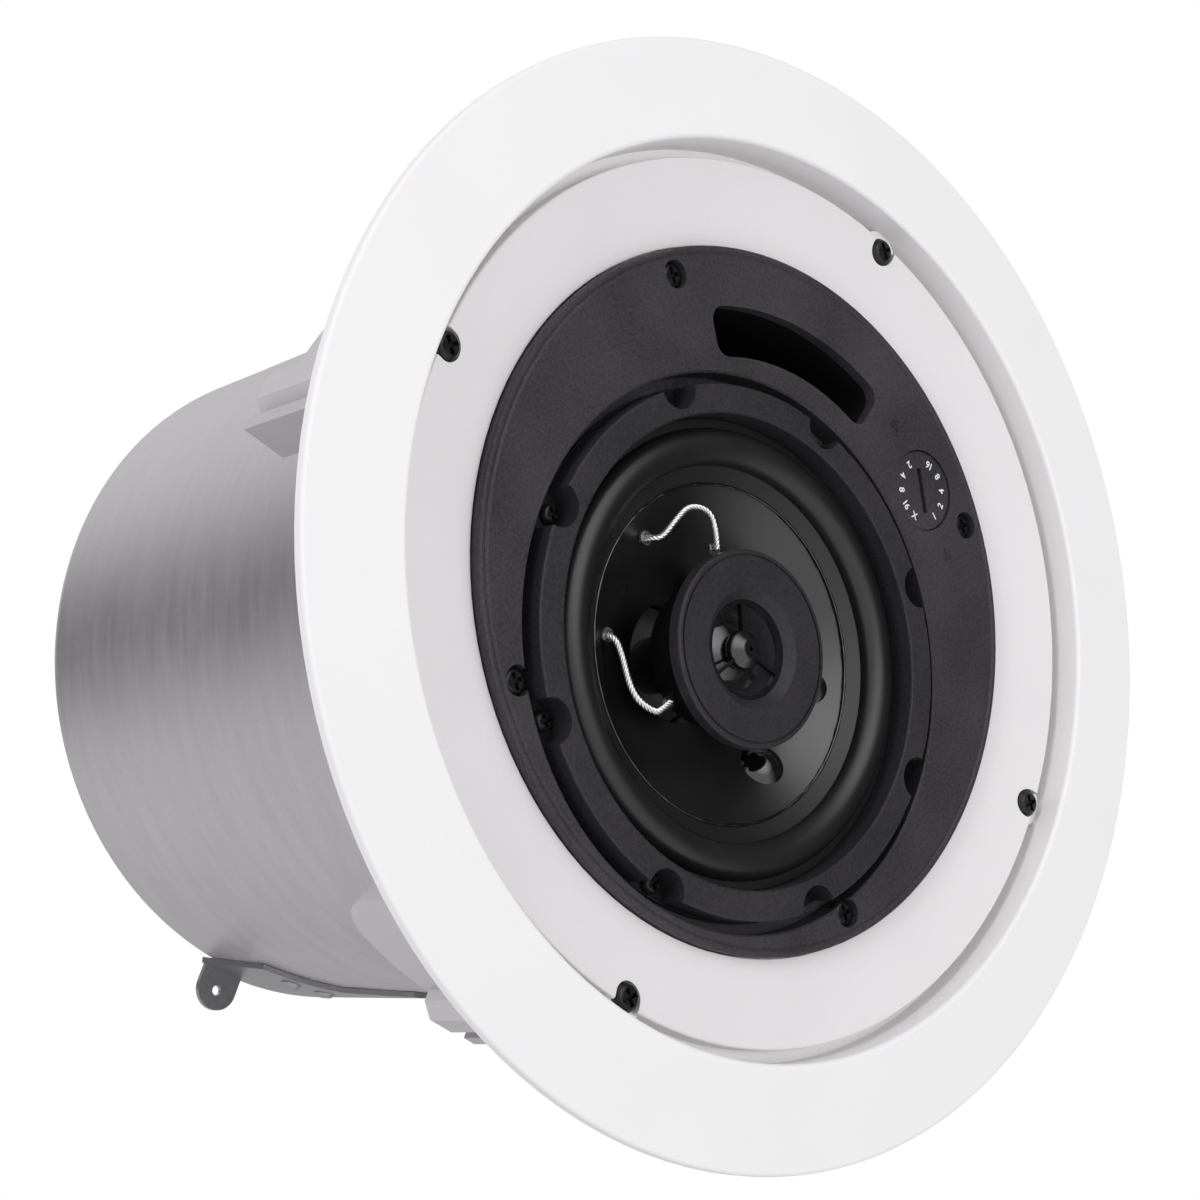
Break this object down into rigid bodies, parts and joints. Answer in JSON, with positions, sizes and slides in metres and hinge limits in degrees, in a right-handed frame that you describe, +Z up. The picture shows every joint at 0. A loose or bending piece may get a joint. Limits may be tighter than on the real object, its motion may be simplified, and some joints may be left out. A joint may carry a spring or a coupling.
{
  "type": "ceiling speaker",
  "caption": "Flush ceiling speaker: round white flange, black bezel with coaxial two-way driver, port slot and tap dial, steel back can, dog-leg clamps and safety ear",
  "frame": {"origin": "centre of the flange's rear face, the face that bears on the ceiling board", "axes": "+Z up into the ceiling void along the can, the front looks towards -Z; the driver's axis lies towards +X -Y from the can's axis, two bezel screws lie on X and two on Y"},
  "size_m": [0.23, 0.23, 0.1824],
  "materials": {
    "flange_white": "fine-grained white moulding, satin",
    "bezel_black": "fine-grained black moulding",
    "ring_charcoal": "fine-grained charcoal moulding",
    "screw_black": "black-coated steel",
    "screw_zinc": "zinc-plated steel",
    "can_steel": "satin galvanised sheet, faint drawing marks",
    "bracket_steel": "plain sheet steel",
    "clamp_grey": "light grey nylon",
    "brass": "plain brass",
    "gasket_foam": "closed-cell foam",
    "cover_steel": "satin galvanised sheet",
    "block_green": "green terminal moulding",
    "gland_black": "black nylon",
    "dial_black": "fine-grained black moulding",
    "switch_black": "smooth black moulding",
    "core_steel": "stacked steel sheets",
    "winding_tape": "yellow winding tape",
    "board_green": "lacquered board",
    "copper": "enamelled copper wire",
    "post_nylon": "white nylon",
    "capacitor_blue": "smooth sleeve",
    "felt_grey": "grey felt",
    "duct_black": "black moulding",
    "basket_black": "black-coated pressed steel",
    "surround_rubber": "satin black rubber",
    "cone_black": "smooth black film cone",
    "former_film": "brown film",
    "spider_cloth": "treated cloth",
    "plate_steel": "zinc-plated steel",
    "ferrite": "dark sintered ferrite",
    "face_black": "fine-grained black moulding",
    "shield_black": "smooth black moulding",
    "dome_film": "thin dark film",
    "cup_black": "smooth black moulding",
    "braid_tinned": "tinned copper braid",
    "solder_tin": "tinned and soldered metal",
    "glue_black": "glossy black glue",
    "strip_fibre": "hard brown fibre board"
  },
  "bodies": {
    "housing": {"flange_baffle": "flange_white", "bezel": "bezel_black", "bezel_screws": "screw_black", "port_duct": "duct_black", "tap_switch_body": "switch_black", "back_can": "can_steel", "can_gasket": "gasket_foam", "can_screws": "screw_zinc", "terminal_cover": "cover_steel", "cover_screws": "screw_zinc", "terminal_block": "block_green", "cable_clamp": "gland_black", "safety_bracket": "bracket_steel", "bracket_rivets": "bracket_steel", "transformer_core": "core_steel", "transformer_winding": "winding_tape", "transformer_strap": "bracket_steel", "strap_rivets": "bracket_steel", "crossover_board": "board_green", "board_posts": "post_nylon", "crossover_coil": "copper", "crossover_capacitor": "capacitor_blue", "mounting_ring": "ring_charcoal", "basket": "basket_black", "driver_screws": "screw_black", "surround": "surround_rubber", "spider": "spider_cloth", "top_plate": "plate_steel", "magnet": "ferrite", "yoke": "plate_steel", "tweeter_face": "face_black", "phase_shield": "shield_black", "tweeter_dome": "dome_film", "tweeter_plate": "plate_steel", "tweeter_magnet": "ferrite", "tweeter_cup": "cup_black", "tweeter_post": "cup_black", "tweeter_tags": "solder_tin", "tinsel_leads": "braid_tinned", "terminal_strip": "strip_fibre", "terminal_blades": "brass", "damping_lining": "felt_grey"},
    "tap": {"tap_dial": "dial_black"},
    "moving_cone": {"cone": "cone_black", "coil_former": "former_film", "voice_coil": "copper", "cone_eyelets": "solder_tin", "glue_dabs": "glue_black"},
    "clamp_screw_body_1": {"clamp_screw_1": "screw_black"},
    "clamp_nut_body_1": {"clamp_nut_1": "brass"},
    "clamp_arm_body_1": {"clamp_arm_1": "clamp_grey"},
    "clamp_screw_body_2": {"clamp_screw_2": "screw_black"},
    "clamp_nut_body_2": {"clamp_nut_2": "brass"},
    "clamp_arm_body_2": {"clamp_arm_2": "clamp_grey"},
    "clamp_screw_body_3": {"clamp_screw_3": "screw_black"},
    "clamp_nut_body_3": {"clamp_nut_3": "brass"},
    "clamp_arm_body_3": {"clamp_arm_3": "clamp_grey"},
    "clamp_screw_body_4": {"clamp_screw_4": "screw_black"},
    "clamp_nut_body_4": {"clamp_nut_4": "brass"},
    "clamp_arm_body_4": {"clamp_arm_4": "clamp_grey"}
  },
  "joints": [
    {"name": "tap_selector", "type": "hinge", "parent": "housing", "child": "tap", "pos_m": [-0.05656, 0.01038, 0.0029], "axis": [0, 0, 1], "range_deg": [0, 120]},
    {"name": "cone_travel", "type": "slide", "parent": "housing", "child": "moving_cone", "axis": [0, 0, -1], "range_m": [-0.0025, 0.0025], "stiffness_N_per_m": 1600, "deforming": ["surround", "spider", "tinsel_leads"]},
    {"name": "clamp_1_turn", "type": "hinge", "parent": "housing", "child": "clamp_screw_body_1", "pos_m": [0.06307, 0.06307, 0.002], "axis": [0, 0, 1], "range_deg": [0, 5040]},
    {"name": "clamp_1_travel", "type": "slide", "parent": "housing", "child": "clamp_nut_body_1", "axis": [0, 0, -1], "range_m": [0, 0.021]},
    {"name": "clamp_1_swing", "type": "hinge", "parent": "clamp_nut_body_1", "child": "clamp_arm_body_1", "pos_m": [0.06307, 0.06307, 0.0587], "axis": [0, 0, -1], "range_deg": [0, 100]},
    {"name": "clamp_2_turn", "type": "hinge", "parent": "housing", "child": "clamp_screw_body_2", "pos_m": [-0.06307, 0.06307, 0.002], "axis": [0, 0, 1], "range_deg": [0, 5040]},
    {"name": "clamp_2_travel", "type": "slide", "parent": "housing", "child": "clamp_nut_body_2", "axis": [0, 0, -1], "range_m": [0, 0.021]},
    {"name": "clamp_2_swing", "type": "hinge", "parent": "clamp_nut_body_2", "child": "clamp_arm_body_2", "pos_m": [-0.06307, 0.06307, 0.0587], "axis": [0, 0, -1], "range_deg": [0, 100]},
    {"name": "clamp_3_turn", "type": "hinge", "parent": "housing", "child": "clamp_screw_body_3", "pos_m": [-0.06307, -0.06307, 0.002], "axis": [0, 0, 1], "range_deg": [0, 5040]},
    {"name": "clamp_3_travel", "type": "slide", "parent": "housing", "child": "clamp_nut_body_3", "axis": [0, 0, -1], "range_m": [0, 0.021]},
    {"name": "clamp_3_swing", "type": "hinge", "parent": "clamp_nut_body_3", "child": "clamp_arm_body_3", "pos_m": [-0.06307, -0.06307, 0.0587], "axis": [0, 0, -1], "range_deg": [0, 100]},
    {"name": "clamp_4_turn", "type": "hinge", "parent": "housing", "child": "clamp_screw_body_4", "pos_m": [0.06307, -0.06307, 0.002], "axis": [0, 0, 1], "range_deg": [0, 5040]},
    {"name": "clamp_4_travel", "type": "slide", "parent": "housing", "child": "clamp_nut_body_4", "axis": [0, 0, -1], "range_m": [0, 0.021]},
    {"name": "clamp_4_swing", "type": "hinge", "parent": "clamp_nut_body_4", "child": "clamp_arm_body_4", "pos_m": [0.06307, -0.06307, 0.0587], "axis": [0, 0, -1], "range_deg": [0, 100]}
  ],
  "couplings": [
    {"joint": "clamp_1_turn", "follows": "clamp_1_travel", "rad_per_m": 4188.8},
    {"joint": "clamp_2_turn", "follows": "clamp_2_travel", "rad_per_m": 4188.8},
    {"joint": "clamp_3_turn", "follows": "clamp_3_travel", "rad_per_m": 4188.8},
    {"joint": "clamp_4_turn", "follows": "clamp_4_travel", "rad_per_m": 4188.8}
  ]
}
